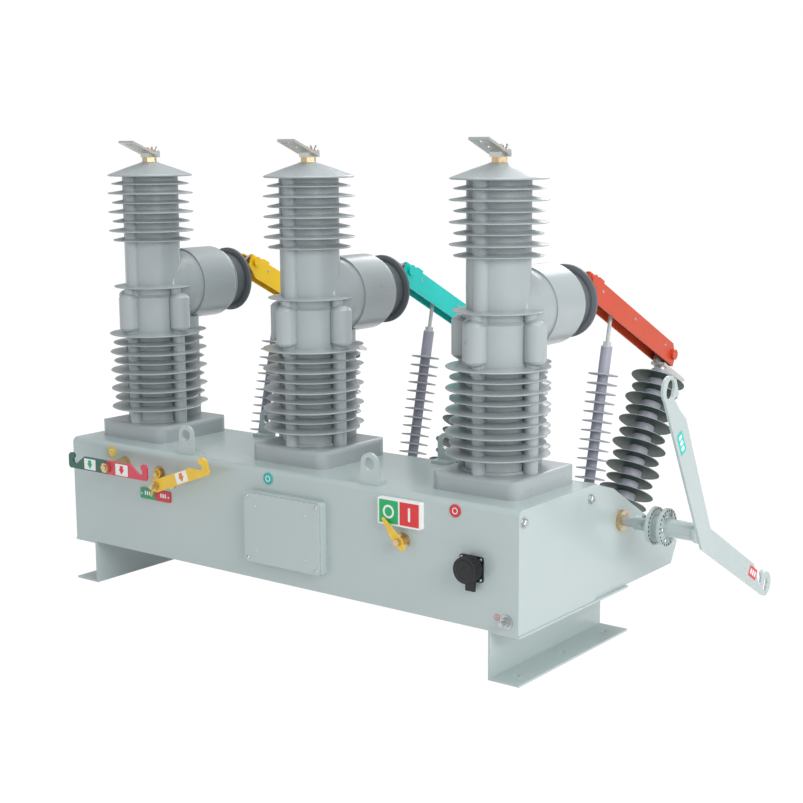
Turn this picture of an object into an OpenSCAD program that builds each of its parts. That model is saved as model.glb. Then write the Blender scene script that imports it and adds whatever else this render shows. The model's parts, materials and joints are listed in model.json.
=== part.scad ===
// Three-pole outdoor vacuum circuit breaker with rear isolating switch.
// X to the right, Y to the rear, Z up; the origin is on the ground, mid of the foot bolts.

/* [Housing] */
// spacing of the three poles
phase = 560; // [400:5:800]
// length of the housing past the outer poles, both ends together
end_room = 314; // [280:2:420]
// depth of the housing, front to rear
housing_d = 334; // [280:1:460]
// height of the housing
housing_h = 282; // [220:1:400]
// thickness of the end covers
cover_t = 5; // [2:0.5:8]

/* [Feet] */
// height of the channel feet
foot_h = 115; // [80:1:160]
// length of a foot, front to rear
foot_l = 490; // [400:2:640]
// width of the foot flanges
foot_w = 81.6; // [60:0.2:110]
// sheet thickness of the feet
foot_t = 5; // [3:0.5:8]
// radius of the foot bolt holes
foot_hole_r = 7; // [4:0.5:10]
// spacing of the foot bolt holes, front to rear
foot_pitch = 195; // [120:1:220]

/* [Poles] */
// radius of the large sheds on the lower column
shed_r = 121; // [95:1:130]
// radius of the large sheds on the upper column
upper_r = 113; // [90:1:130]
// radius of the column
core_r = 74; // [60:1:80]
// radius of the outlet branch
branch_r = 97; // [80:1:105]
// pitch of the lower sheds
shed_pitch = 25; // [20:0.5:26]

/* [Isolating switch] */
// length of the blade cover past the hinge
blade_l = 511; // [440:1:520]
// width of the blade cover
blade_w = 44; // [40:1:60]
// radius of the hinge pin
hinge_r = 9; // [6:0.5:10]
// radius of the rod sheds
rod_shed_r = 38.6; // [30:0.2:46]
// radius of the large post sheds
post_r = 72.7; // [55:0.1:80]
// radius of the drive shaft
shaft_r = 13; // [10:0.5:15]
// running clearance of the pins, on the radius
fit = 0.05; // [0.02:0.01:0.1]

/* [Hidden] */
$fn = 64;

// housing faces
y_front = -245;
y_back = y_front + housing_d;
z_low = foot_h;
z_top = foot_h + housing_h;
half_l = phase + end_room / 2;
x_cover = half_l + cover_t;
foot_x = half_l - 74;
bolt_x = foot_x + 44;
bend_r = 15;

// poles
row_x = -8;
x_a = row_x - phase;
x_b = row_x;
x_c = row_x + phase;
pole_y = y_front + 171;
base_w = 241;
base_y0 = pole_y - 102.5;
base_d = 256;
base_h = 44;
base_r = 28;
z_col = z_top + base_h;
z_shed = z_top + 282;
z_up = z_top + 534;
z_cap = z_top + 705;
z_nut = z_cap + 35;
z_axis = z_top + 407;
rear_y = 95;
small_r = shed_r - 9;
lobe_r = 72;
up_small_r = upper_r - 10;
branch_l = 229;
seal_y0 = pole_y + branch_l + 6;
seal_y1 = seal_y0 + 67;
seal_r = branch_r - 9;

// isolating switch, side view
hinge_y = seal_y1 + 84;
hinge_z = z_axis + 44;
blade_tilt = 26.4;
rod_at = [158, -12.7];
rod_pin_r = 7;
rod_y = hinge_y + rod_at[0] * cos(blade_tilt) + rod_at[1] * sin(blade_tilt);
rod_z = hinge_z - rod_at[0] * sin(blade_tilt) + rod_at[1] * cos(blade_tilt);
shaft_y = y_back + 126;
shaft_z = z_low + 169;
crank_l = 125.4;
crank_tilt = 31;
crank_pin_r = 7;
rod_dy = rod_y - shaft_y - crank_l * cos(crank_tilt);
rod_dz = rod_z - shaft_z + crank_l * sin(crank_tilt);
rod_len = norm([rod_dy, rod_dz]);
rod_tilt = atan2(rod_dy, rod_dz);
eye_hole_r = 15;
bar_in = 10;
bar_out = 15;
cross_at = [blade_l - 16, -14];

// shaft, end to end
plate_t = 6;
x_plate = half_l - plate_t;
shaft_x0 = -half_l - 23;
shaft_x1 = half_l + 88;
disc_x0 = shaft_x1;
disc_x1 = disc_x0 + 38;
disc_r = 46;
tube_r = 22;
lever_x = disc_x1 + 81;
lever_t = 6;

// sloping rear beam and its posts
slope = 30.4;
tip_y = y_back + 428;
tip_z = z_low + 54;
beam_l = 141;
post_back = 27;
post_h = 450;
post_y = tip_y - post_back * cos(slope);
post_z = tip_z + post_back * sin(slope);

// front fittings
trip_x = -513;
trip_z = z_low + 235;
charge_x = -345;
charge_z = z_low + 205;
needle_x = -384;
needle_z = z_low + 225;
pointer_x = 410;
pointer_z = z_low + 169;
trip_y = y_front - 67;
charge_y = y_front - 53;
needle_y = y_front - 13;
pointer_y = y_front - 23;
charge_tilt = 20.3;
hand_t = 6;

body_grey = [0.74, 0.79, 0.79];
pole_grey = [0.66, 0.69, 0.70];
dark_grey = [0.38, 0.40, 0.42];
steel = [0.72, 0.73, 0.74];
copper = [0.80, 0.50, 0.33];
brass = [0.80, 0.66, 0.40];
post_grey = [0.55, 0.56, 0.62];
black = [0.10, 0.11, 0.11];
white = [0.93, 0.93, 0.92];
yellow = [0.95, 0.80, 0.12];
teal = [0.05, 0.72, 0.66];
orange = [0.85, 0.32, 0.16];
green = [0.08, 0.40, 0.32];

// a flat shape drawn as (Y, Z), made solid from x0 to x1
module side_solid(x0, x1) {
  translate([x0, 0, 0]) rotate([90, 0, 90]) linear_extrude(x1 - x0) children();
}

// a flat shape drawn as (X, Z), made solid from y0 to y1
module front_solid(y0, y1) {
  translate([0, y1, 0]) rotate([90, 0, 0]) linear_extrude(y1 - y0) children();
}

// a round bar along X
module bar_x(r, x0, x1) {
  translate([x0, 0, 0]) rotate([0, 90, 0]) cylinder(r = r, h = x1 - x0);
}

// a round bar along Y
module bar_y(r, y0, y1) {
  translate([0, y1, 0]) rotate([90, 0, 0]) cylinder(r = r, h = y1 - y0);
}

// a rectangle with round corners
module round_rect(w, h, r) {
  translate([-w / 2 + r, -h / 2]) square([w - 2 * r, h]);
  translate([-w / 2, -h / 2 + r]) square([w, h - 2 * r]);
  for (sx = [-1, 1], sy = [-1, 1])
    translate([sx * (w / 2 - r), sy * (h / 2 - r)]) circle(r = r);
}

// a rectangle standing on y = 0 with its two upper corners round
module arch_rect(w, h, r) {
  translate([-w / 2, 0]) square([w, h - r]);
  translate([-w / 2 + r, 0]) square([w - 2 * r, h]);
  for (s = [-1, 1])
    translate([s * (w / 2 - r), h - r]) circle(r = r);
}

// the closed machine housing, one solid with a round bend along the upper front edge
module housing() {
  color(body_grey) {
    side_solid(-half_l, half_l) {
      translate([y_front + bend_r, z_low]) square([housing_d - bend_r, housing_h]);
      translate([y_front, z_low]) square([bend_r + 1, housing_h - bend_r]);
      translate([y_front + bend_r, z_top - bend_r]) circle(r = bend_r);
    }
  }
}

// the two bolted end covers
module end_covers() {
  color(body_grey) for (s = [-1, 1])
    side_solid(s > 0 ? half_l : -x_cover, s > 0 ? x_cover : -half_l) {
      translate([y_front + bend_r, z_low]) square([housing_d - bend_r, housing_h]);
      translate([y_front, z_low]) square([bend_r + 1, housing_h - bend_r]);
      translate([y_front + bend_r, z_top - bend_r]) circle(r = bend_r);
    }
}

// a channel foot, its flanges pointing outwards
module foot(s) {
  color(body_grey) difference() {
    union() {
      translate([s > 0 ? foot_x : -foot_x - foot_t, -foot_l / 2, 0]) cube([foot_t, foot_l, foot_h]);
      for (z = [0, foot_h - foot_t])
        translate([s > 0 ? foot_x : -foot_x - foot_w, -foot_l / 2, z]) cube([foot_w, foot_l, foot_t]);
    }
    for (y = [-foot_pitch, 0, foot_pitch])
      translate([s * bolt_x, y, -1]) cylinder(r = foot_hole_r, h = foot_t + 2);
  }
}
module foot_left() { foot(-1); }
module foot_right() { foot(1); }

// the raised cover in the middle of the front
module nameplate_cover() {
  color(body_grey) {
    translate([54.75, 0, z_low + 136.25]) front_solid(y_front - 21, y_front) round_rect(245.5, 179.5, 9);
    translate([54.75, 0, z_low + 136.25]) front_solid(y_front - 25, y_front - 21) round_rect(239.5, 173.5, 6);
  }
}

// four lifting lugs on top of the housing
module lug(s) {
  difference() {
    union() {
      translate([0, 0, 0]) front_solid(-4, 4) {
        translate([-25, 0]) square([50, 50]);
        translate([0, 50]) circle(r = 25);
      }
      translate([-25, s > 0 ? -3 : -32, 0]) cube([50, 35, 8]);
    }
    translate([0, 0, 49]) bar_y(15, -5, 5);
  }
}
module lifting_lugs() {
  color(body_grey) for (x = [row_x - 294, row_x + 306]) {
    translate([x, y_front + bend_r + 4, z_top]) lug(1);
    translate([x, y_back - 8, z_top]) lug(-1);
  }
}

// the two side plates that carry the shaft and the rear beam
module side_plates() {
  color(body_grey) for (s = [-1, 1])
    side_solid(s > 0 ? x_plate : -half_l, s > 0 ? half_l : -x_plate) difference() {
      polygon([[y_back, z_low], [y_back, z_top - 2], [tip_y - 342, tip_z + 342 * tan(slope)],
        [tip_y, tip_z], [tip_y - 54 * tan(slope), z_low]]);
      translate([shaft_y, shaft_z]) circle(r = 20);
    }
}

// the channel along the lower edge of the slope, between the side plates
module post_beam() {
  color(body_grey) translate([0, tip_y, tip_z]) rotate([-slope, 0, 0]) {
    translate([-x_plate, -beam_l, -6]) cube([2 * x_plate, beam_l, 6]);
    translate([-x_plate, -beam_l, -42]) cube([2 * x_plate, 6, 38]);
    translate([-x_plate, -6, -58]) cube([2 * x_plate, 6, 54]);
  }
}

// two flanged bushes in the side plates
module shaft_bushes() {
  color(brass) for (s = [-1, 1])
    translate([0, shaft_y, shaft_z]) difference() {
      union() {
        bar_x(19.7, s > 0 ? x_plate : -half_l - 1, s > 0 ? half_l + 1 : -x_plate);
        bar_x(25, s > 0 ? half_l : -half_l - 10, s > 0 ? half_l + 10 : -half_l);
      }
      bar_x(shaft_r + fit, s > 0 ? x_plate - 1 : -half_l - 11, s > 0 ? half_l + 11 : -x_plate + 1);
    }
}

// one round shed, thick at the root and thin at the rim, its rim at z = 0
module shed(r, root, rise) {
  rotate_extrude() polygon([[0, -rise * 0.6], [root, -rise * 0.6], [r - 2, -2.2], [r, -0.9],
    [r, 0.3], [r - 1.2, 1.3], [root, rise], [0, rise]]);
}

// a lower shed: the round shed with its rear lobe
module lobed_shed(r, lobe) {
  shed(r, core_r + 4, 7);
  translate([0, rear_y, 0]) shed(lobe, 54, 5);
  translate([-lobe + 6, 0, -1.6]) cube([2 * lobe - 12, rear_y, 2.6]);
}

// one cast pole: base, lower column, waist with bosses, outlet branch, upper column and cap
module pole(x) {
  color(pole_grey) translate([x, pole_y, 0]) {
    intersection() {
      translate([0, 25.5, z_top]) linear_extrude(base_h) round_rect(base_w, base_d, base_r);
      translate([0, 0, z_top]) front_solid(-200, 200) arch_rect(base_w, base_h, 12);
      translate([0, 25.5, z_top]) side_solid(-200, 200) arch_rect(base_d, base_h, 12);
    }
    translate([0, 0, z_top + 20]) cylinder(r = core_r, h = z_cap - z_top - 20);
    translate([0, rear_y, z_top + 20]) cylinder(r = 52, h = z_axis - branch_r - z_top - 10);
    translate([-45, 0, z_top + 20]) cube([90, rear_y, z_axis - branch_r - z_top]);
    translate([0, 0, z_col - 1]) cylinder(r = core_r + 6, h = 6);
    for (a = [-90, 0, 180])
      rotate([0, 0, a]) translate([a < 0 ? 76 : 90, 0, z_top + 20]) cylinder(r = 17, h = z_shed - z_top);
    translate([0, -71, z_shed]) cylinder(r = 19, h = z_cap - z_shed - 2);
    for (k = [0 : 8])
      translate([0, 0, z_shed - k * shed_pitch])
        lobed_shed(k % 2 == 0 ? shed_r : small_r, k % 2 == 0 ? lobe_r : lobe_r - 8);
    waist();
    for (k = [0 : 6])
      translate([0, 0, z_cap - 22 - k * 24.9]) shed(k % 2 == 0 ? up_small_r : upper_r, core_r + 2, 7);
    translate([0, 0, z_cap]) rotate_extrude() polygon([[0, -4], [core_r, -4], [upper_r - 3, -2.4],
      [upper_r - 1, -0.6], [upper_r - 1, 1], [upper_r - 4, 3], [60, 21], [27, 32], [21, 35], [0, 35]]);
    branch();
  }
}

// the waist of a pole: a drum with three bolt towers
module waist() {
  for (a = [-90, 0, 180])
    rotate([0, 0, a]) translate([a < 0 ? 91 : 99, 0, z_top]) {
      translate([0, 0, 302]) cylinder(r = 26, h = 80);
      translate([0, 0, 296]) cylinder(r1 = 21, r2 = 26, h = 6);
      translate([0, 0, 291]) cylinder(r1 = 12, r2 = 21, h = 5);
      translate([0, 0, 382]) cylinder(r1 = 26, r2 = 21, h = 6);
      translate([0, 0, 388]) cylinder(r1 = 21, r2 = 12, h = 5);
    }
  for (a = [-90, 0, 180])
    rotate([0, 0, a]) translate([86, 0, z_top + 270]) cylinder(r = 14, h = 140);
  translate([0, 0, z_top + 283]) cylinder(r = core_r + 8, h = 99);
  translate([-99, -18, z_top + 300]) cube([198, 36, 84]);
  translate([-18, -91, z_top + 300]) cube([36, 91, 84]);
  translate([0, 0, z_top + 382]) cylinder(r1 = core_r + 8, r2 = core_r - 1, h = 9);
  translate([0, 0, z_top + 409]) shed(105, core_r + 4, 6);
}

// the outlet branch to the rear
module branch() {
  translate([0, 0, z_axis]) rotate([-90, 0, 0]) rotate_extrude() {
    polygon([[0, -30], [50, -30], [66, -14], [78, 4], [86, 24], [91, 50], [branch_r - 4, 74],
      [branch_r - 4, 101], [0, 101]]);
    translate([0, 100]) square([branch_r, branch_l - 112]);
    translate([0, 100]) square([branch_r - 12, branch_l - 100]);
    translate([branch_r - 12, branch_l - 12]) circle(r = 12);
    translate([0, branch_l - 1]) square([branch_r - 15, 4]);
    translate([0, branch_l + 2]) square([branch_r - 7, 4]);
  }
}
module pole_a() { pole(x_a); }
module pole_b() { pole(x_b); }
module pole_c() { pole(x_c); }

// dark seals at the ends of the outlet branches
module outlet_seals() {
  color(dark_grey) for (x = [x_a, x_b, x_c])
    translate([x, seal_y0, z_axis]) rotate([-90, 0, 0]) rotate_extrude() {
      square([seal_r - 15, 60]);
      square([seal_r - 3, 8]);
      translate([0, 49]) polygon([[0, 0], [seal_r - 8, 0], [seal_r, 3], [seal_r + 1, 6], [seal_r + 1, 10],
        [seal_r - 2, 12], [seal_r - 22, 18], [0, 18]]);
    }
}

// fixed hinge brackets of the blades
module hinge_brackets() {
  color(steel) for (x = [x_a, x_b, x_c])
    translate([x, 0, 0]) difference() {
      union() {
        translate([0, 0, z_axis]) bar_y(35, seal_y1, seal_y1 + 8);
        side_solid(-5, 5) {
          polygon([[seal_y1 + 4, z_axis - 26], [seal_y1 + 4, z_axis + 28], [hinge_y - 8, hinge_z + 14],
            [hinge_y + 10, hinge_z - 12]]);
          translate([hinge_y, hinge_z]) circle(r = 18);
        }
      }
      translate([0, hinge_y, hinge_z]) bar_x(hinge_r + fit, -6, 6);
    }
}

// nut and threaded stud on top of each pole
module terminal_studs() {
  color(brass) for (x = [x_a, x_b, x_c])
    translate([x, pole_y, z_nut]) {
      cylinder(r = 19.5, h = 12, $fn = 6);
      cylinder(r = 10, h = 38);
    }
}

// tilted terminal pads on the studs
module top_terminals() {
  color(steel) for (x = [x_a, x_b, x_c])
    translate([x, pole_y, z_nut]) difference() {
      union() {
        translate([0, 0, 20]) rotate([-21.5, 0, 0]) translate([-27, -89, -3]) cube([54, 98, 6]);
        translate([-16, -16, 12]) cube([32, 40, 16]);
      }
      translate([0, 0, 11]) cylinder(r = 10.3, h = 30);
      for (y = [-75, -43])
        translate([0, 0, 20]) rotate([-21.5, 0, 0]) translate([0, y, -5]) cylinder(r = 7, h = 10);
    }
}

// one leaning post insulator on the beam
module post(x) {
  translate([x, post_y, post_z]) rotate([-slope, 0, 0]) {
    color(post_grey) rotate_extrude() {
      square([24, 14]);
      square([21, 40]);
      translate([0, 38]) square([26, 396]);
      translate([0, 432]) square([24, post_h - 432]);
    }
    color(post_grey) for (k = [0 : 11])
      translate([0, 0, 67 + k * 32.46]) shed(k % 2 == 1 ? post_r : post_r - 9.7, 27, 5);
  }
}
module post_a() { post(x_a); }
module post_b() { post(x_b); }
module post_c() { post(x_c); }

// moves children into the frame of a closed blade
module blade_frame(x) {
  translate([x, hinge_y, hinge_z]) rotate([-blade_tilt, 0, 0]) children();
}

// terminal plates on the posts, each with the fixed contact that stands between the copper bars
module lower_terminals() {
  color(steel) for (x = [x_a, x_b, x_c]) {
    difference() {
      union() {
        blade_frame(x) {
          translate([-20, 465, -56]) cube([40, 136, 8]);
          side_solid(-5, 5) polygon([[444, -50], [448, -16], [454, -8], [466, -8], [472, -16], [478, -50]]);
        }
        translate([x, post_y, post_z]) rotate([-slope, 0, 0]) translate([0, 0, post_h])
          cylinder(r = 19, h = 12);
      }
      blade_frame(x) for (y = [548, 584])
        translate([0, y, -58]) cylinder(r = 7, h = 12);
    }
  }
}

// blade cover, open below and at the hinge end
module blade_cover(x, c) {
  w = blade_w / 2;
  color(c) blade_frame(x) difference() {
    union() {
      side_solid(-w, w) polygon([[-22, -20], [-22, 14], [blade_l - 27, 14], [blade_l, -14],
        [blade_l, -43], [20, -43]]);
      translate([-w, 30, 13]) cube([2 * w, 26, 7]);
      for (s = [-1, 1], p = [[0, 0], cross_at])
        translate([0, p[0], p[1]]) bar_x(14, s > 0 ? w - 1 : -w - 8, s > 0 ? w + 8 : 1 - w);
    }
    side_solid(-w + 4, w - 4) polygon([[-30, -50], [-30, 10], [blade_l - 29, 10], [blade_l - 4, -16],
      [blade_l - 4, -50]]);
    translate([-11, -30, 0]) cube([22, 57, 30]);
    bar_x(hinge_r + 0.3, -w - 5, w + 5);
    translate([0, cross_at[0], cross_at[1]]) bar_x(7.3, -w - 5, w + 5);
  }
}
module blade_cover_a() { blade_cover(x_a, yellow); }
module blade_cover_b() { blade_cover(x_b, teal); }
module blade_cover_c() { blade_cover(x_c, orange); }

// the two copper bars of a blade with their cross pins
module blade_bars(x) {
  w = blade_w / 2;
  color(copper) blade_frame(x) {
    for (s = [-1, 1])
      side_solid(s > 0 ? bar_in : -bar_out, s > 0 ? bar_out : -bar_in)
        polygon([[-15, -24], [-15, 7], [blade_l - 29, 7], [blade_l - 9, -14], [blade_l - 9, -24]]);
    bar_x(hinge_r, -w - 4.7, w + 4.7);
    translate([0, rod_at[0], rod_at[1]]) bar_x(rod_pin_r, -bar_out - 1, bar_out + 1);
    translate([0, cross_at[0], cross_at[1]]) bar_x(7, -w - 4.7, w + 4.7);
  }
}
module blade_bars_a() { blade_bars(x_a); }
module blade_bars_b() { blade_bars(x_b); }
module blade_bars_c() { blade_bars(x_c); }

// insulated pull rod from the blade down to the crank; z runs down the rod
module pull_rod(x) {
  color(post_grey) translate([x, rod_y, rod_z]) rotate([180 - rod_tilt, 0, 0]) difference() {
    union() {
      bar_x(14, -5, 5);
      translate([0, 0, 8]) cylinder(r = 5, h = 90);
      translate([0, 0, 87]) cylinder(r = 12, h = 11, $fn = 6);
      translate([0, 0, 98]) cylinder(r = 14.5, h = 69);
      translate([0, 0, 160]) cylinder(r = 13.5, h = 300);
      for (k = [0 : 11])
        translate([0, 0, 171 + k * 24.13]) rotate([180, 0, 0]) shed(rod_shed_r, 14, 4);
      translate([0, 0, 450]) cylinder(r = 14.5, h = 30);
      translate([0, 0, 478]) cylinder(r = 9, h = rod_len - 478 - 20);
      translate([0, 0, rod_len]) bar_x(26, -4, 4);
      translate([-4, -14, rod_len - 60]) cube([8, 28, 50]);
    }
    bar_x(rod_pin_r + fit, -6, 6);
    translate([0, 0, rod_len]) bar_x(eye_hole_r, -5, 5);
  }
}
module pull_rod_a() { pull_rod(x_a); }
module pull_rod_b() { pull_rod(x_b); }
module pull_rod_c() { pull_rod(x_c); }

// drive shaft with one crank and crank pin at each pole
module drive_shaft() {
  color(steel) translate([0, shaft_y, shaft_z]) {
    bar_x(shaft_r, shaft_x0, shaft_x1);
    bar_x(17, half_l + 40, shaft_x1 - 5);
    for (x = [x_a, x_b, x_c])
      translate([x, 0, 0]) rotate([-crank_tilt, 0, 0]) {
        bar_x(24, -20, 2);
        side_solid(-16, -10) {
          polygon([[0, -22], [0, 22], [crank_l, 13], [crank_l, -13]]);
          translate([crank_l, 0]) circle(r = 13);
        }
        translate([0, crank_l, 0]) bar_x(crank_pin_r, -12, 14);
        translate([0, crank_l, 0]) bar_x(18, 10, 14);
      }
  }
}

// adjusting coupling and tube that carry the lever
module coupling() {
  color(steel) translate([0, shaft_y, shaft_z]) {
    bar_x(disc_r, disc_x0, disc_x0 + 8);
    bar_x(26, disc_x0 + 7, disc_x1 - 7);
    bar_x(disc_r, disc_x1 - 8, disc_x1);
    bar_x(tube_r, disc_x1 - 1, lever_x);
    bar_x(26, lever_x - 8, lever_x);
  }
}

// two-armed operating lever with a hook and an oval hole at each end
module operating_lever() {
  x0 = lever_x;
  x1 = lever_x + lever_t;
  color(body_grey) translate([0, shaft_y, shaft_z]) difference() {
    union() {
      side_solid(x0, x1) polygon([[3, -40], [-208, 351], [-181, 361], [-171, 388], [-150, 381],
        [-135, 345], [-157, 337], [-129, 309], [-96, 284], [-70, 231], [46, 2], [301, -142],
        [336, -203], [348, -201], [353, -190], [347, -176], [359, -171], [378, -212], [362, -239]]);
      translate([0, -181, 361]) bar_x(31, x0, x1);
      translate([0, 378, -212]) bar_x(31, x0, x1);
    }
    translate([0, -179, 355]) bar_x(17, x0 - 1, x1 + 1);
    translate([0, -174, 366]) bar_x(17, x0 - 1, x1 + 1);
    translate([0, 379, -208]) bar_x(11, x0 - 1, x1 + 1);
    translate([0, 373, -220]) bar_x(11, x0 - 1, x1 + 1);
  }
}

// washers, hexagon bosses and spindles of the front levers and pointers
module spindle_bosses() {
  color(brass) {
    translate([trip_x, 0, trip_z]) {
      bar_y(18, y_front - 3, y_front);
      translate([0, y_front, 0]) rotate([90, 0, 0]) cylinder(r = 16, h = 58, $fn = 6);
      bar_y(8, trip_y - 14, y_front);
      translate([0, trip_y - 1, 0]) rotate([90, 0, 0]) cylinder(r = 14, h = 9, $fn = 6);
    }
    translate([charge_x, 0, charge_z]) {
      bar_y(18, y_front - 3, y_front);
      translate([0, y_front, 0]) rotate([90, 0, 0]) cylinder(r = 13, h = 44, $fn = 6);
      bar_y(6, charge_y - 20, y_front);
      translate([0, charge_y - 1, 0]) rotate([90, 0, 0]) cylinder(r = 11, h = 8, $fn = 6);
    }
    translate([needle_x, 0, needle_z]) {
      bar_y(18, y_front - 3, y_front);
      bar_y(7, needle_y + 3, y_front);
      bar_y(4, needle_y - 6, y_front);
      bar_y(7, needle_y - 6, needle_y - 1);
    }
    translate([pointer_x, 0, pointer_z]) {
      bar_y(18, y_front - 3, y_front);
      bar_y(10, pointer_y + 4, y_front);
      bar_y(5, pointer_y - 8, y_front);
      translate([0, pointer_y - 1, 0]) rotate([90, 0, 0]) cylinder(r = 9, h = 7, $fn = 6);
    }
  }
}

// trip lever: a flat bar with an upward hook at each end
module trip_handle() {
  color(green) translate([trip_x, 0, trip_z]) difference() {
    front_solid(trip_y, trip_y + hand_t) polygon([[-145, -18], [-150, -12], [-150, 16], [-144, 23],
      [-134, 24], [-127, 19], [-128, 12], [-134, 6], [-131, -3], [-124, -7], [-88, 18], [88, 18],
      [124, -7], [131, -3], [134, 6], [128, 12], [127, 19], [134, 24], [144, 23], [150, 16],
      [150, -12], [145, -18]]);
    bar_y(8 + fit, trip_y - 1, trip_y + hand_t + 1);
  }
}

// charging lever: a flat bar with one upward hook
module charge_handle() {
  color(yellow) translate([charge_x, 0, charge_z]) rotate([0, -charge_tilt, 0]) difference() {
    union() {
      bar_y(16.5, charge_y, charge_y + hand_t);
      front_solid(charge_y, charge_y + hand_t) polygon([[-2, -16], [-2, 16], [134, 16], [172, 1],
        [178, 4], [180, 13], [172, 18], [171, 26], [178, 31], [190, 30], [198, 21], [198, -9],
        [191, -16]]);
    }
    bar_y(6 + fit, charge_y - 1, charge_y + hand_t + 1);
  }
}

// needle of the spring-charge display
module charge_needle() {
  color(orange) translate([needle_x, 0, needle_z]) difference() {
    union() {
      bar_y(12, needle_y, needle_y + 2);
      front_solid(needle_y, needle_y + 2) polygon([[-9.1, 7.1], [9.5, 0.5], [-22, -64.6], [-25, -63.6]]);
    }
    bar_y(4 + fit, needle_y - 1, needle_y + 3);
  }
}

// display plate of the spring charge
module charge_plate() {
  color(white) translate([-401.5, 0, z_low + 164]) front_solid(y_front - 4, y_front) round_rect(111, 28, 3);
}

// raised plate that shows the switch position
module position_plate() {
  color(white) translate([405.75, 0, z_low + 234.5])
    front_solid(y_front - 13, y_front) round_rect(122.5, 63, 4);
}

// pointer of the switch position
module position_pointer() {
  color(yellow) translate([pointer_x, 0, pointer_z]) front_solid(pointer_y, pointer_y + 3) difference() {
    union() {
      circle(r = 13);
      polygon([[-43, 53], [-47, 49.5], [-9.8, -8.6], [12, -20], [18, -14], [9.8, 8.6]]);
    }
    circle(r = 5 + fit);
  }
}

// control socket: flange and barrel
module socket() {
  color(black) translate([599.5, 0, z_low + 136]) {
    front_solid(y_front - 4, y_front) round_rect(63, 58, 5);
    translate([4.5, 0, 3]) bar_y(25, y_front - 30, y_front - 3);
  }
}

// screw cap of the control socket with its strap
module socket_cap() {
  color(black) translate([604, 0, z_low + 139]) {
    difference() {
      bar_y(30, y_front - 38, y_front - 10);
      bar_y(25.3, y_front - 31, y_front - 9);
    }
    front_solid(y_front - 16, y_front - 10) polygon([[-13, -26], [13, -26], [12, -52], [-12, -52]]);
  }
}

// earthing bolt at the lower right of the front
module earth_bolt() {
  color(steel) translate([692, y_front, z_low + 29]) rotate([90, 0, 0]) {
    cylinder(r = 16, h = 3);
    cylinder(r = 11, h = 13, $fn = 6);
    cylinder(r = 6, h = 27);
  }
}

// three coloured discs above the phases
module phase_discs() {
  translate([x_a + 3, 0, z_top - 22.5]) color(yellow) bar_y(15, y_front - 2, y_front);
  translate([x_b + 3, 0, z_top - 22.5]) color(teal) bar_y(15, y_front - 2, y_front);
  translate([x_c + 2, 0, z_top - 22.5]) color(orange) bar_y(15, y_front - 2, y_front);
}

housing();
end_covers();
foot_left();
foot_right();
nameplate_cover();
lifting_lugs();
side_plates();
post_beam();
shaft_bushes();
pole_a();
pole_b();
pole_c();
outlet_seals();
hinge_brackets();
terminal_studs();
top_terminals();
post_a();
post_b();
post_c();
lower_terminals();
spindle_bosses();
charge_plate();
position_plate();
socket();
socket_cap();
earth_bolt();
phase_discs();
drive_shaft();
coupling();
operating_lever();
blade_cover_a();
blade_bars_a();
blade_cover_b();
blade_bars_b();
blade_cover_c();
blade_bars_c();
pull_rod_a();
pull_rod_b();
pull_rod_c();
trip_handle();
charge_handle();
charge_needle();
position_pointer();
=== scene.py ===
"""Looks of a three-pole outdoor vacuum circuit breaker with its rear isolating switch."""
import json
import math

import bmesh
import bpy
from mathutils import Matrix, Vector


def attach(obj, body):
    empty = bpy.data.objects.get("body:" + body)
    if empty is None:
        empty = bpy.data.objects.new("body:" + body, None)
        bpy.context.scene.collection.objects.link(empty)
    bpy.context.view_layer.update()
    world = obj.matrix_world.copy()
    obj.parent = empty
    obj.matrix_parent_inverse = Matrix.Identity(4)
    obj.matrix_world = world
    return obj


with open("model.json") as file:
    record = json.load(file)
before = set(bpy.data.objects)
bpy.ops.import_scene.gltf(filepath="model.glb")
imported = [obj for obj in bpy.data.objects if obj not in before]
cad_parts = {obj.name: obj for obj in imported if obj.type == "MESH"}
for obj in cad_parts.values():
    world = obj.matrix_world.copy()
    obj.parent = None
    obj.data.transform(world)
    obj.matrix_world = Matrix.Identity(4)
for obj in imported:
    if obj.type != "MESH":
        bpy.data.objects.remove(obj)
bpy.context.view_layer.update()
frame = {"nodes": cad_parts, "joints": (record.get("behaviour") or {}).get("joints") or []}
nodes = frame["nodes"]
MM = 0.001



def corners(name):
    """Lowest and highest corner of a CAD node, in mm."""
    places = [nodes[name].matrix_world @ v.co for v in nodes[name].data.vertices]
    return [[round(pick(p[i] for p in places) / MM, 2) for i in range(3)] for pick in (min, max)]


def middle(name, i):
    """Middle of a CAD node along one axis, in mm."""
    low, high = corners(name)
    return round((low[i] + high[i]) / 2, 2)


def joint_at(name):
    """Place of a joint, in mm."""
    return [round(v / MM, 2) for j in frame["joints"] if j["name"] == name for v in j["pos_m"]]


# places shared by several pieces, in mm
FRONT = corners("housing")[0][1]
END_X = corners("end_covers")[1][0]
LEVER_X = corners("operating_lever")[1][0]
POLES = {k: joint_at(f"blade_{k}_hinge")[0] for k in "abc"}
POLE_Y = middle("terminal_studs", 1)
HINGE = joint_at("blade_a_hinge")[1:]
SHAFT = joint_at("disconnector_shaft")[1:]
BLADE_TILT = math.radians(26.4)


# ---------- materials ----------


def shader(name, rough=0.4, metal=0.0, coat=0.0):
    m = bpy.data.materials.new(name)
    m.use_nodes = True
    b = m.node_tree.nodes["Principled BSDF"]
    b.inputs["Roughness"].default_value = rough
    b.inputs["Metallic"].default_value = metal
    b.inputs["Coat Weight"].default_value = coat
    b.inputs["Coat Roughness"].default_value = 0.12
    return m, b


def add(m, kind, **values):
    n = m.node_tree.nodes.new(kind)
    for key, value in values.items():
        setattr(n, key, value)
    return n


def join(m, a, b):
    m.node_tree.links.new(a, b)


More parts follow.
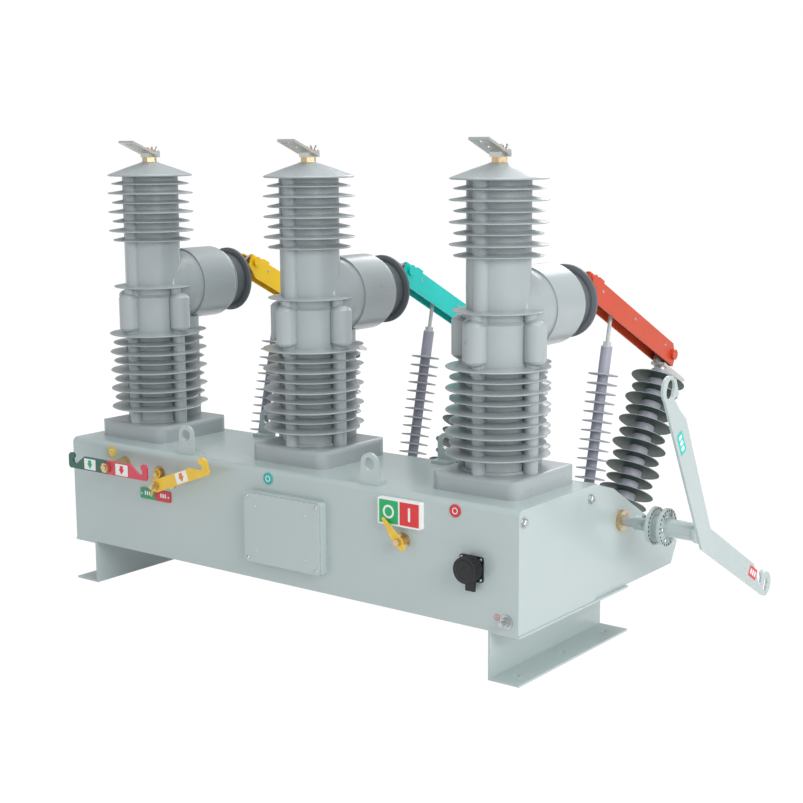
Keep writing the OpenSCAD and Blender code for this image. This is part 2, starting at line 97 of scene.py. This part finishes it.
def ramp(m, fac, stops):
    r = add(m, "ShaderNodeValToRGB")
    e = r.color_ramp.elements
    while len(e) < len(stops):
        e.new(0.5)
    for i, (pos, col) in enumerate(stops):
        e[i].position = pos
        e[i].color = (*col, 1.0) if len(col) == 3 else col
    join(m, fac, r.inputs["Fac"])
    return r.outputs["Color"]


def grey(v):
    return (v, v, v)


def noise(m, scale, detail=4.0, rough=0.55, stretch=None):
    tc = add(m, "ShaderNodeTexCoord")
    n = add(m, "ShaderNodeTexNoise")
    n.inputs["Scale"].default_value = scale
    n.inputs["Detail"].default_value = detail
    n.inputs["Roughness"].default_value = rough
    if stretch:
        mp = add(m, "ShaderNodeMapping")
        mp.inputs["Scale"].default_value = stretch
        join(m, tc.outputs["Object"], mp.inputs["Vector"])
        join(m, mp.outputs["Vector"], n.inputs["Vector"])
    else:
        join(m, tc.outputs["Object"], n.inputs["Vector"])
    return n.outputs["Fac"]


def mix(m, fac, a, b, mode="MIX"):
    x = add(m, "ShaderNodeMix", data_type="RGBA", blend_type=mode)
    if isinstance(fac, float):
        x.inputs["Factor"].default_value = fac
    else:
        join(m, fac, x.inputs["Factor"])
    for socket, value in ((x.inputs["A"], a), (x.inputs["B"], b)):
        if isinstance(value, tuple):
            socket.default_value = (*value, 1.0)
        else:
            join(m, value, socket)
    return x.outputs["Result"]


def scaled(col, k):
    return tuple(min(1.0, c * k) for c in col)


def surface(m, b, col, vary=0.06, big=3.0, small=260.0, bump=0.02, rough=(0.3, 0.4), stretch=None):
    """Broad tone drift, fine grain, uneven gloss and a fine bump."""
    drift = noise(m, big, 3.0)
    grain = noise(m, small, 3.0, 0.6, stretch)
    if isinstance(col, tuple):
        tone = ramp(m, drift, [(0.32, scaled(col, 1 - vary)), (0.68, scaled(col, 1 + vary))])
    else:
        tone = mix(m, 1.0, col, ramp(m, drift, [(0.32, grey(1 - vary)), (0.68, grey(1.0))]), "MULTIPLY")
    tone = mix(m, 1.0, tone, ramp(m, grain, [(0.3, grey(1 - vary * 0.7)), (0.7, grey(1.0))]), "MULTIPLY")
    join(m, tone, b.inputs["Base Color"])
    gloss = add(m, "ShaderNodeMapRange")
    gloss.inputs["To Min"].default_value = rough[0]
    gloss.inputs["To Max"].default_value = rough[1]
    join(m, noise(m, big * 6, 4.0), gloss.inputs["Value"])
    join(m, gloss.outputs["Result"], b.inputs["Roughness"])
    if bump:
        bp = add(m, "ShaderNodeBump")
        bp.inputs["Strength"].default_value = bump
        bp.inputs["Distance"].default_value = 0.001
        join(m, grain, bp.inputs["Height"])
        join(m, bp.outputs["Normal"], b.inputs["Normal"])
    return m


def lin(r, g, b):
    """Linear colour of an 8-bit screen colour."""
    return tuple((c / 255 / 12.92) if c < 11 else ((c / 255 + 0.055) / 1.055) ** 2.4 for c in (r, g, b))


def simple(name, col, rough=(0.3, 0.4), metal=0.0, coat=0.0, **kw):
    m, b = shader(name, rough[0], metal, coat)
    return surface(m, b, col, rough=rough, **kw)


def axis_mask(m, axis, at, soft=0.0004):
    """1 past the place 'at' along an object axis (m), 0 before it."""
    tc = add(m, "ShaderNodeTexCoord")
    sep = add(m, "ShaderNodeSeparateXYZ")
    join(m, tc.outputs["Object"], sep.inputs["Vector"])
    r = add(m, "ShaderNodeMapRange", clamp=True)
    r.inputs["From Min"].default_value = at - soft
    r.inputs["From Max"].default_value = at + soft
    join(m, sep.outputs[axis], r.inputs["Value"])
    return r.outputs["Result"]


def two_tone(name, first, second, axis, at, **kw):
    m, b = shader(name, 0.35, 0.0, 0.3)
    col = mix(m, axis_mask(m, axis, at), first, second)
    return surface(m, b, col, **kw)


def shed_material(name, core, shed, axis, rough=(0.42, 0.55), metal_ends=None):
    """Core colour on the round stem and rim edges, shed colour on faces that look along the axis, and
    steel above and below the two heights metal_ends (m)."""
    m, b = shader(name, rough[0])
    tc = add(m, "ShaderNodeTexCoord")
    dot = add(m, "ShaderNodeVectorMath", operation="DOT_PRODUCT")
    join(m, tc.outputs["Normal"], dot.inputs[0])
    dot.inputs[1].default_value = axis
    ab = add(m, "ShaderNodeMath", operation="ABSOLUTE")
    join(m, dot.outputs["Value"], ab.inputs[0])
    col = ramp(m, ab.outputs["Value"], [(0.35, core), (0.6, shed)])
    if metal_ends:
        low, high = metal_ends
        col = mix(m, axis_mask(m, "Z", high), col, lin(206, 208, 208))
        col = mix(m, axis_mask(m, "Z", low), lin(206, 208, 208), col)
    return surface(m, b, col, vary=0.08, big=14.0, small=500.0, bump=0.03, rough=rough)


PAINT = lin(183, 196, 195)
POLE = lin(170, 178, 180)
paint = simple("painted_housing", PAINT, (0.2, 0.3), coat=0.35, vary=0.025, big=2.2, small=700.0, bump=0.05)
epoxy = simple("cast_epoxy", POLE, (0.24, 0.36), coat=0.25, vary=0.035, big=5.0, small=420.0, bump=0.03)
seal = simple("seal_rubber", lin(100, 106, 111), (0.4, 0.55), vary=0.08, big=20.0, small=600.0, bump=0.05)
tin = simple("tinned_metal", lin(214, 214, 210), (0.28, 0.42), 0.85, vary=0.05, big=30.0, small=300.0,
             bump=0.05, stretch=(1.0, 12.0, 12.0))
zinc = simple("zinc_steel", lin(196, 199, 200), (0.25, 0.42), 0.9, vary=0.07, big=24.0, small=220.0,
              bump=0.06, stretch=(14.0, 1.0, 1.0))
brass = simple("brass", lin(216, 190, 148), (0.22, 0.36), 0.9, vary=0.07, big=40.0, small=300.0,
               bump=0.04, stretch=(1.0, 10.0, 1.0))
copper = simple("copper_bar", lin(196, 122, 88), (0.25, 0.4), 0.9, vary=0.1, big=16.0, small=200.0,
                bump=0.05, stretch=(10.0, 1.0, 10.0))
black = simple("black_plastic", lin(20, 22, 23), (0.38, 0.5), vary=0.1, big=30.0, small=900.0, bump=0.12)
white = simple("white_print", lin(240, 242, 240), (0.3, 0.4), vary=0.02, big=20.0, small=500.0, bump=0.01)
post_axis = (0.0, 0.506, 0.8625)
post = shed_material("post_silicone", lin(186, 188, 200), lin(52, 80, 68), post_axis)
rod_axis = (0.0, -0.2238, -0.9746)
rod = shed_material("rod_silicone", lin(168, 170, 184), lin(190, 192, 198), rod_axis, metal_ends=(0.299, 0.671))
covers = {
    "a": simple("yellow_cover", lin(255, 205, 0), (0.34, 0.46), coat=0.05, vary=0.04, big=12.0, bump=0.05),
    "b": simple("teal_cover", lin(0, 212, 202), (0.34, 0.46), coat=0.05, vary=0.04, big=12.0, bump=0.05),
    "c": simple("orange_cover", lin(210, 72, 38), (0.34, 0.46), coat=0.05, vary=0.05, big=12.0, bump=0.05),
}
handle_yellow = simple("yellow_handle", lin(240, 196, 50), (0.25, 0.38), coat=0.3, vary=0.06, big=30.0, bump=0.03)
teal_mark = simple("teal_mark", lin(30, 200, 190), (0.3, 0.4), vary=0.03, big=30.0, bump=0.01)
red_mark = simple("red_mark", lin(222, 48, 52), (0.3, 0.4), vary=0.03, big=30.0, bump=0.01)
green_mark = simple("green_mark", lin(16, 172, 100), (0.3, 0.4), vary=0.03, big=30.0, bump=0.01)
trip_paint = two_tone("trip_handle_paint", lin(20, 96, 78), lin(214, 62, 84), "X", -0.513,
                      vary=0.05, big=30.0, small=500.0, bump=0.03, rough=(0.25, 0.38))


def disc_material():
    """Yellow, teal and red along the row of phase discs."""
    m, b = shader("phase_discs", 0.3, 0.0, 0.3)
    col = mix(m, axis_mask(m, "X", -0.3), lin(242, 200, 40), lin(24, 176, 168))
    col = mix(m, axis_mask(m, "X", 0.3), col, lin(206, 42, 50))
    return surface(m, b, col, vary=0.04, big=40.0, small=500.0, bump=0.02)


def dress(name, m):
    """Gives every face of a CAD node one material."""
    me = nodes[name].data
    me.materials.clear()
    me.materials.append(m)
    for p in me.polygons:
        p.material_index = 0


def shaft_material():
    """Bare steel inside, painted where the collar and the coupling stand outside."""
    m, b = shader("shaft_steel_and_paint", 0.35, 0.5)
    col = mix(m, axis_mask(m, "X", 0.7565), lin(186, 190, 192), PAINT)
    return surface(m, b, col, vary=0.05, big=20.0, small=300.0, bump=0.04, rough=(0.28, 0.42))


shaft_paint = shaft_material()
LOOKS = {
    "housing": paint, "end_covers": paint, "foot_left": paint, "foot_right": paint,
    "nameplate_cover": paint, "lifting_lugs": paint, "side_plates": paint, "post_beam": paint,
    "operating_lever": paint, "shaft_bushes": brass, "terminal_studs": brass, "spindle_bosses": brass,
    "pole_a": epoxy, "pole_b": epoxy, "pole_c": epoxy, "outlet_seals": seal, "hinge_brackets": tin,
    "top_terminals": tin, "lower_terminals": tin, "post_a": post, "post_b": post, "post_c": post,
    "charge_plate": two_tone("charge_plate_print", lin(22, 150, 100), lin(206, 34, 52), "X", -0.4015,
                             vary=0.03, big=30.0, small=500.0, bump=0.01, rough=(0.3, 0.4)),
    "position_plate": white, "socket": black, "socket_cap": black, "earth_bolt": zinc,
    "phase_discs": disc_material(), "drive_shaft": shaft_paint, "coupling": paint,
    "trip_handle": trip_paint, "charge_handle": handle_yellow, "charge_needle": handle_yellow,
    "position_pointer": handle_yellow,
}
for k in "abc":
    LOOKS["blade_cover_" + k] = covers[k]
    LOOKS["blade_bars_" + k] = copper
    LOOKS["pull_rod_" + k] = rod
for name, m in LOOKS.items():
    dress(name, m)

# ---------- small pieces ----------


def piece(name, bm, m, body="base"):
    """Makes an object of a finished bmesh and lets it ride on a body."""
    me = bpy.data.meshes.new(name)
    bmesh.ops.remove_doubles(bm, verts=bm.verts, dist=1e-7)
    bmesh.ops.recalc_face_normals(bm, faces=bm.faces)
    bm.to_mesh(me)
    bm.free()
    me.materials.append(m)
    me.shade_smooth()
    me.set_sharp_from_angle(angle=math.radians(32))
    o = bpy.data.objects.new(name, me)
    bpy.context.collection.objects.link(o)
    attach(o, body)
    return o


def frame_of(at, axis, up=(0, 0, 1)):
    """Matrix whose z runs along axis from the place 'at' (mm)."""
    z = Vector(axis).normalized()
    u = Vector(up)
    if abs(z.dot(u)) > 0.95:
        u = Vector((0, 1, 0))
    x = u.cross(z).normalized()
    y = z.cross(x)
    rot = Matrix((x, y, z)).transposed().to_4x4()
    return Matrix.Translation(Vector(at) * MM) @ rot


def turned(bm, mat, profile, sides=32, spin=0.0):
    """A closed solid of revolution; profile is a list of (radius, height) in mm from axis to axis."""
    rings = []
    for r, h in profile:
        if r < 1e-6:
            rings.append([bm.verts.new(mat @ Vector((0, 0, h * MM)))])
        else:
            ring = []
            for i in range(sides):
                a = spin + 2 * math.pi * i / sides
                place = Vector((r * MM * math.cos(a), r * MM * math.sin(a), h * MM))
                ring.append(bm.verts.new(mat @ place))
            rings.append(ring)
    for a, b in zip(rings, rings[1:]):
        for i in range(sides):
            j = (i + 1) % sides
            quad = [a[i % len(a)], a[j % len(a)], b[j % len(b)], b[i % len(b)]]
            quad = list(dict.fromkeys(quad))
            if len(quad) > 2:
                bm.faces.new(quad)


THREAD = 1.2


def hex_head(bm, at, axis, across=9.0, high=6.0, washer=11.0, stud=0.0):
    """Washer, chamfered hexagon head and optional threaded end standing proud."""
    mat = frame_of(at, axis)
    base = 0.0
    if washer:
        turned(bm, mat, [(0, -0.2), (washer - 0.4, -0.2), (washer, 0.2), (washer, 1.6),
                         (washer - 0.5, 2.0), (0, 2.0)])
        base = 1.9
    top = base + high
    turned(bm, mat, [(0, base), (across, base), (across, base + high - 1.2), (across - 1.3, top), (0, top)], 6)
    turned(bm, mat, [(0, top - 0.4), (across * 0.72, top - 0.4), (across * 0.66, top + 0.4), (0, top + 0.4)], 24)
    if stud:
        prof = [(0, top)]
        h = top
        while h < top + stud:
            prof += [(across * 0.5, h), (across * 0.44, h + THREAD / 2)]
            h += THREAD
        prof += [(across * 0.4, h), (0, h)]
        turned(bm, mat, prof, 20)


def pan_head(bm, at, axis, r=4.5, high=2.6):
    """Round screw head with a sunk centre."""
    mat = frame_of(at, axis)
    turned(bm, mat, [(0, -0.2), (r, -0.2), (r, high * 0.35), (r * 0.86, high * 0.72), (r * 0.55, high * 0.95),
                     (r * 0.3, high), (r * 0.28, high * 0.55), (0, high * 0.55)], 24)


def plate(bm, outline, mat, thick, bevel=0.3):
    """A flat plate from a closed outline in mm, its face edges bevelled."""
    n = len(outline)
    cx = sum(p[0] for p in outline) / n
    cy = sum(p[1] for p in outline) / n
    levels = [(1.0, 0.0), (1.0, thick - bevel), (None, thick)]
    rings = []
    for k, h in levels:
        ring = []
        for x, y in outline:
            if k is None:
                d = math.hypot(x - cx, y - cy) or 1.0
                x, y = x - bevel * (x - cx) / d, y - bevel * (y - cy) / d
            ring.append(bm.verts.new(mat @ Vector((x * MM, y * MM, h * MM))))
        rings.append(ring)
    for a, b in zip(rings, rings[1:]):
        for i in range(n):
            bm.faces.new([a[i], a[(i + 1) % n], b[(i + 1) % n], b[i]])
    bm.faces.new(rings[0][::-1])
    bm.faces.new(rings[-1])


def rounded(w, h, r, cx=0.0, cy=0.0, steps=5):
    """Outline of a rectangle with round corners, in mm."""
    pts = []
    for sx, sy, a0 in ((1, 1, 0), (-1, 1, 90), (-1, -1, 180), (1, -1, 270)):
        for i in range(steps + 1):
            a = math.radians(a0 + 90 * i / steps)
            pts.append((cx + sx * (w / 2 - r) + r * math.cos(a),
                        cy + sy * (h / 2 - r) + r * math.sin(a)))
    return pts


def ring_shape(bm, mat, r0, r1, thick, sides=40):
    """A flat ring between two radii."""
    rings = []
    for r, h in ((r0, 0), (r1, 0), (r1, thick), (r0, thick)):
        rings.append([bm.verts.new(mat @ Vector((r * MM * math.cos(2 * math.pi * i / sides),
                                                 r * MM * math.sin(2 * math.pi * i / sides), h * MM)))
                      for i in range(sides)])
    for a, b in zip(rings, rings[1:] + rings[:1]):
        for i in range(sides):
            j = (i + 1) % sides
            bm.faces.new([a[i], a[j], b[j], b[i]])


def face_front(x, z, y=FRONT):
    """Drawing frame on a front face: x to the right, y up, z towards the front."""
    m = Matrix(((1, 0, 0), (0, 0, -1), (0, 1, 0))).to_4x4()
    return Matrix.Translation(Vector((x, y, z)) * MM) @ m


def face_side(y, z, x, s=1):
    """Drawing frame on a side face: x to the rear, y up, z outwards."""
    m = Matrix(((0, 0, s), (s, 0, 0), (0, 1, 0))).to_4x4()
    return Matrix.Translation(Vector((x, y, z)) * MM) @ m


# bolts of the end covers and the nameplate cover
bm = bmesh.new()
for s in (-1, 1):
    for y, z in ((-227, 368), (60, 366)):
        hex_head(bm, (s * END_X, y, z), (s, 0, 0), 9.5, 7.0, 12.0)
piece("end_cover_bolts", bm, zinc)
(cover_x0, cover_front, cover_z0), (cover_x1, _, cover_z1) = corners("nameplate_cover")
inset = 12
bm = bmesh.new()
for x in (cover_x0 + inset, cover_x1 - inset):
    for z in (cover_z0 + inset, cover_z1 - inset):
        pan_head(bm, (x, cover_front, z), (0, -1, 0), 5.0, 3.0)
piece("nameplate_cover_screws", bm, zinc)
bm = bmesh.new()
for x in (-27, 133):
    for z in (196, 307):
        pan_head(bm, (x, cover_front, z), (0, -1, 0), 3.0, 1.8)
piece("nameplate_rivets", bm, tin)


# signs with plain symbols only
def sign(name, mat, outline, m, body="base", thick=0.5):
    bm = bmesh.new()
    plate(bm, outline, mat, thick, 0.15)
    return piece(name, bm, m, body)


SIGN_T = 0.5
MARK_T = 0.3
ARROW = [(0, -12), (10, 2), (6, 2), (6, 11), (-6, 11), (-6, 2), (-10, 2)]
trip_front = corners("trip_handle")[0][1]
for name, x, w, h, m in (("left", -579, 44, 29, green_mark), ("right", -457, 46, 30, red_mark)):
    sign("trip_sign_" + name, face_front(x, 349.5, trip_front), rounded(w, h, 2), white, "trip_lever")
    at = face_front(x, 349.5, trip_front - SIGN_T)
    sign("trip_arrow_" + name, at, ARROW, m, "trip_lever", MARK_T)
tilt = Matrix.Rotation(math.radians(20.3), 4, "Z")
bar = face_front(-345, 320, corners("charge_handle")[0][1]) @ tilt
sign("charge_sign", bar, rounded(42, 28, 2, 99, 0.5), white, "charge_lever")
orange_mark = simple("orange_mark", lin(232, 130, 40), (0.3, 0.4), vary=0.03, big=30.0, bump=0.01)
at = bar @ Matrix.Translation(Vector((99, 0.5, SIGN_T)) * MM)
sign("charge_arrow", at, ARROW, orange_mark, "charge_lever", MARK_T)

# position plate: green and red fields with a ring and a bar
plate_x, plate_z = middle("position_plate", 0), middle("position_plate", 2)
plate_front = corners("position_plate")[0][1]
field, field_x, sunk = 54, 29.5, 0.4
sign("position_green", face_front(plate_x - field_x, plate_z, plate_front), rounded(field, field, 1.5), green_mark)
sign("position_red", face_front(plate_x + field_x, plate_z, plate_front), rounded(field, field, 1.5), red_mark)
bm = bmesh.new()
ring_shape(bm, face_front(plate_x - field_x, plate_z, plate_front - sunk), 11, 16, SIGN_T)
piece("position_open_ring", bm, white)
at = face_front(plate_x + field_x, plate_z, plate_front - sunk)
sign("position_closed_bar", at, rounded(6, 32, 1), white)

# charge plate: screws at both ends and plain marks
plate_x, plate_z = middle("charge_plate", 0), middle("charge_plate", 2)
plate_front = corners("charge_plate")[0][1]
bm = bmesh.new()
for s in (-1, 1):
    pan_head(bm, (plate_x + s * 49.5, plate_front, plate_z), (0, -1, 0), 3.4, 2.0)
piece("charge_plate_screws", bm, zinc)
bm = bmesh.new()
for first in (-36.5, 21.5):
    for i in range(3):
        outline = rounded(4.5, 11, 1, first + 8 * i, 1.5)
        plate(bm, outline, face_front(plate_x, plate_z, plate_front), MARK_T, 0.1)
piece("charge_plate_marks", bm, white)

# rings on the phase discs
disc_front, disc_z = corners("phase_discs")[0][1], middle("phase_discs", 2)
bm = bmesh.new()
for k in "abc":
    x = POLES[k] + (2 if k == "c" else 3)
    ring_shape(bm, face_front(x, disc_z, disc_front), 5.5, 7.5, 0.35)
piece("phase_disc_rings", bm, white)

# earth mark beside the earthing bolt
earth = face_front(666, 150, FRONT)
line_w, line_t = 0.9, 0.35
bm = bmesh.new()
ring_shape(bm, earth, 6.2, 7.4, line_t)
for w, y in ((8, 0.2), (5.2, -2), (2.4, -4)):
    plate(bm, rounded(w, line_w, 0.3, 0, y), earth, line_t, 0.1)
plate(bm, rounded(line_w, 4.4, 0.3, 0, 2.4), earth, line_t, 0.1)
piece("earth_mark", bm, red_mark)

# control socket: flange screws and a knurled cap
flange_front = FRONT - 4
bm = bmesh.new()
for x in (574, 625):
    for z in (228, 274):
        pan_head(bm, (x, flange_front, z), (0, -1, 0), 3.6, 2.2)
piece("socket_screws", bm, zinc)
cap_x, cap_z = middle("socket_cap", 0), 254
cap_back, cap_front = FRONT - 12, corners("socket_cap")[0][1]
grips, grip_at = 30, 29.7
cap = frame_of((cap_x, cap_back, cap_z), (0, -1, 0))
bm = bmesh.new()
for i in range(grips):
    turn = Matrix.Rotation(2 * math.pi * i / grips, 4, "Z")
    grip = cap @ turn @ Matrix.Translation((grip_at * MM, 0, 0))
    turned(bm, grip, [(0, 0), (1.2, 0), (1.5, 0.6), (1.5, 20), (1.0, 21.5), (0, 21.5)], 8)
piece("socket_cap_grips", bm, black)
bm = bmesh.new()
turned(bm, frame_of((cap_x, cap_front, cap_z), (0, -1, 0)),
       [(0, -0.5), (24, -0.5), (24, 0.4), (22.5, 1.2), (20, 1.2), (19, 0.5), (8, 0.5), (7, 1.4), (0, 1.6)], 48)
piece("socket_cap_face", bm, black)


def round_shaft(count, radius, start=0.0):
    """Places (y, z) spaced evenly on a circle round the shaft."""
    for i in range(count):
        a = start + 2 * math.pi * i / count
        yield SHAFT[0] + radius * math.cos(a), SHAFT[1] + radius * math.sin(a)


def lever_sign(name, y, z, ang, w, h, m):
    """A coloured sign with three blocks, placed from the shaft."""
    mat = face_side(SHAFT[0] + y, SHAFT[1] + z, LEVER_X) @ Matrix.Rotation(math.radians(ang), 4, "Z")
    sign(name, mat, rounded(w, h, 4), m, "drive_train")
    raised = mat @ Matrix.Translation((0, 0, SIGN_T * MM))
    bm = bmesh.new()
    for k in (-1, 0, 1):
        plate(bm, rounded(w * 0.18, h * 0.5, 1.5, k * w * 0.27, 0), raised, MARK_T, 0.1)
    piece(name + "_marks", bm, white, "drive_train")


lever_sign("lever_sign_upper", -117, 232, -62, 56, 27, teal_mark)
lever_sign("lever_sign_lower", 296, -164, -30, 50, 27, red_mark)

# coupling: bolts on both discs, each 8 mm thick, and black discs on their faces that are painted shade standing in
# for the adjusting holes
disc_in = corners("coupling")[0][0]
disc_out = disc_in + 38
disc_t = 8
bm = bmesh.new()
for y, z in round_shaft(6, 33):
    hex_head(bm, (disc_out, y, z), (1, 0, 0), 5.5, 4.5, 0)
    hex_head(bm, (disc_in, y, z), (-1, 0, 0), 5.5, 4.5, 0, 3.0)
piece("coupling_bolts", bm, zinc, "drive_train")
# painted shade: each thin black disc stands in for the dark inside of an adjusting hole
hole_shade_disc = [(0, -0.2), (2.7, -0.2), (2.7, 0.2), (0, 0.2)]
bm = bmesh.new()
for y, z in round_shaft(24, 41, math.pi / 24):
    for x, s in ((disc_out, 1), (disc_out - disc_t, -1), (disc_in + disc_t, 1), (disc_in, -1)):
        turned(bm, frame_of((x, y, z), (s, 0, 0)), hole_shade_disc, 16)
piece("coupling_hole_shade", bm, black, "drive_train")
collar_x, collar_r = 779, 16.6
bm = bmesh.new()
hex_head(bm, (collar_x, SHAFT[0], SHAFT[1] + collar_r), (0, 0, 1), 5.0, 5.0, 0)
hex_head(bm, (collar_x, SHAFT[0] - collar_r, SHAFT[1]), (0, -1, 0), 5.0, 5.0, 0)
piece("collar_screws", bm, zinc, "drive_train")
bush_x = corners("shaft_bushes")[1][0]
bm = bmesh.new()
for s in (-1, 1):
    for y, z in round_shaft(4, 19, math.pi / 4):
        pan_head(bm, (s * bush_x, y, z), (s, 0, 0), 2.6, 1.8)
piece("bush_screws", bm, zinc)

# blades: raised panels and side screws
along = Vector((0, math.cos(BLADE_TILT), -math.sin(BLADE_TILT)))
normal = Vector((0, math.sin(BLADE_TILT), math.cos(BLADE_TILT)))


def blade_at(x, a, b):
    """A place on a blade: a along it from the hinge, b above its middle."""
    return Vector((x, HINGE[0], HINGE[1])) + along * a + normal * b


for k, x in POLES.items():
    body = "blade_" + k
    top = Matrix((Vector((1, 0, 0)), along, normal)).transposed().to_4x4()
    bm = bmesh.new()
    for a in (100, 235, 370):
        at = Matrix.Translation(blade_at(x, a, 14) * MM) @ top
        plate(bm, rounded(30, 110, 6), at, 1.6, 0.8)
    piece("blade_panels_" + k, bm, covers[k], body)
    bm = bmesh.new()
    for s in (-1, 1):
        for a in (60, 250, 440):
            pan_head(bm, blade_at(x + s * 22, a, -6), (s, 0, 0), 4.0, 2.4)
    piece("blade_screws_" + k, bm, zinc, body)

# hinge brackets: bolts on the flange, round the axis of the outlet
flange_back = corners("hinge_brackets")[0][1] + 8
outlet_z = middle("outlet_seals", 2)
bolt_circle_r = 23
bm = bmesh.new()
for x in POLES.values():
    for i in range(4):
        a = math.pi / 4 + i * math.pi / 2
        at = (x + bolt_circle_r * math.cos(a), flange_back, outlet_z + bolt_circle_r * math.sin(a))
        hex_head(bm, at, (0, 1, 0), 5.5, 4.5, 7.5)
piece("hinge_flange_bolts", bm, zinc)

# line terminals: clamp bolts beside the studs
bm = bmesh.new()
for x in POLES.values():
    for s in (-1, 1):
        hex_head(bm, (x + s * 8, POLE_Y + 19, 1165), (0, 0, 1), 5.0, 5.0, 6.5, 5.0)
    hex_head(bm, (x + 16, POLE_Y + 1, 1157), (1, 0, 0), 5.5, 5.0, 7.0)
piece("terminal_clamp_bolts", bm, zinc)

# posts: foot nuts and top collars
slope = math.radians(30.4)
up = Vector((0, math.sin(slope), math.cos(slope)))
foot = Vector((0, 493.7, 182.7))
bm = bmesh.new()
for x in POLES.values():
    mat = frame_of(foot + Vector((x, 0, 0)), up)
    turned(bm, mat, [(0, 14), (24.5, 14), (25.5, 15), (25.5, 19), (24, 20), (21, 20), (0, 20)], 6)
piece("post_foot_nuts", bm, zinc)
bm = bmesh.new()
for x in POLES.values():
    mat = frame_of(foot + Vector((x, 0, 0)), up)
    turned(bm, mat, [(0, 436), (22.6, 436), (23.2, 437), (23.2, 447), (22.4, 448), (0, 448)], 40)
piece("post_collars", bm, zinc)

# ---------- stage, light and camera ----------


FLOOR_GLOW = 1.06
FLOOR_GLOW_PART = 0.94
SOFT_LIGHT = 0.54


def stage_material(name, col):
    """A pale floor that takes a faint shadow and runs into the white backdrop."""
    m = bpy.data.materials.new(name)
    m.use_nodes = True
    nt = m.node_tree
    nt.nodes.clear()
    out = nt.nodes.new("ShaderNodeOutputMaterial")
    diffuse = nt.nodes.new("ShaderNodeBsdfDiffuse")
    diffuse.inputs["Color"].default_value = (*col, 1)
    glow = nt.nodes.new("ShaderNodeEmission")
    glow.inputs["Color"].default_value = (1, 1, 1, 1)
    glow.inputs["Strength"].default_value = FLOOR_GLOW
    path = nt.nodes.new("ShaderNodeLightPath")
    seen = nt.nodes.new("ShaderNodeMath")
    seen.operation = "MAXIMUM"
    nt.links.new(path.outputs["Is Camera Ray"], seen.inputs[0])
    nt.links.new(path.outputs["Is Glossy Ray"], seen.inputs[1])
    part = nt.nodes.new("ShaderNodeMath")
    part.operation = "MULTIPLY"
    part.inputs[1].default_value = FLOOR_GLOW_PART
    nt.links.new(seen.outputs[0], part.inputs[0])
    blend = nt.nodes.new("ShaderNodeMixShader")
    nt.links.new(part.outputs[0], blend.inputs["Fac"])
    nt.links.new(diffuse.outputs[0], blend.inputs[1])
    nt.links.new(glow.outputs[0], blend.inputs[2])
    nt.links.new(blend.outputs[0], out.inputs["Surface"])
    return m


bpy.ops.mesh.primitive_plane_add(size=40, location=(0, 0, -0.0005))
floor = bpy.context.object
floor.name = "floor"
floor.data.materials.append(stage_material("floor", (0.9, 0.9, 0.9)))

world = bpy.data.worlds.new("studio")
bpy.context.scene.world = world
world.use_nodes = True
wn = world.node_tree
wn.nodes.clear()
wout = wn.nodes.new("ShaderNodeOutputWorld")
soft = wn.nodes.new("ShaderNodeBackground")
soft.inputs["Color"].default_value = (0.96, 0.98, 1.0, 1)
soft.inputs["Strength"].default_value = SOFT_LIGHT
backdrop = wn.nodes.new("ShaderNodeBackground")
backdrop.inputs["Color"].default_value = (1, 1, 1, 1)
backdrop.inputs["Strength"].default_value = 1.0
wpath = wn.nodes.new("ShaderNodeLightPath")
wmix = wn.nodes.new("ShaderNodeMixShader")
wn.links.new(wpath.outputs["Is Camera Ray"], wmix.inputs["Fac"])
wn.links.new(soft.outputs[0], wmix.inputs[1])
wn.links.new(backdrop.outputs[0], wmix.inputs[2])
wn.links.new(wmix.outputs[0], wout.inputs["Surface"])


def lamp(name, at, target, size, power):
    """An area lamp at a place, aimed at a target (m), with its size (m) and power (W)."""
    data = bpy.data.lights.new(name, "AREA")
    data.shape = "RECTANGLE"
    data.size, data.size_y = size
    data.energy = power
    o = bpy.data.objects.new(name, data)
    bpy.context.collection.objects.link(o)
    o.location = at
    o.rotation_euler = (Vector(target) - Vector(at)).to_track_quat("-Z", "Y").to_euler()


lamp("key", (4.4, -1.6, 2.4), (0, 0, 0.6), (2.6, 2.0), 110)
lamp("front", (-2.2, -4.0, 2.2), (0, 0, 0.6), (2.4, 1.8), 9)
lamp("top", (0.4, 0.6, 4.2), (0, 0, 0.5), (4.0, 3.0), 80)
lamp("rear", (-0.8, 3.8, 2.6), (0, 0, 0.7), (2.4, 1.6), 40)

SENSOR = 36.0
LENS = 66.605
CAMERA_AT = Vector((2402.7, -2874.9, 1163.9))
AZIMUTH, PITCH, ROLL = math.radians(37.22), math.radians(9.59), math.radians(-0.27)
cam_data = bpy.data.cameras.new("camera")
cam = bpy.data.objects.new("camera", cam_data)
bpy.context.collection.objects.link(cam)
cam_data.sensor_width = SENSOR
cam_data.lens = LENS
cam_data.clip_end = 60
ahead = Vector((-math.sin(AZIMUTH) * math.cos(PITCH), math.cos(AZIMUTH) * math.cos(PITCH), -math.sin(PITCH)))
level = Vector((math.cos(AZIMUTH), math.sin(AZIMUTH), 0))
right = level * math.cos(ROLL) + level.cross(ahead) * math.sin(ROLL)
turn = Matrix((right, right.cross(ahead), -ahead)).transposed().to_4x4()
cam.matrix_world = Matrix.Translation(CAMERA_AT * MM) @ turn
bpy.context.scene.camera = cam
bpy.context.scene.view_settings.view_transform = "Standard"
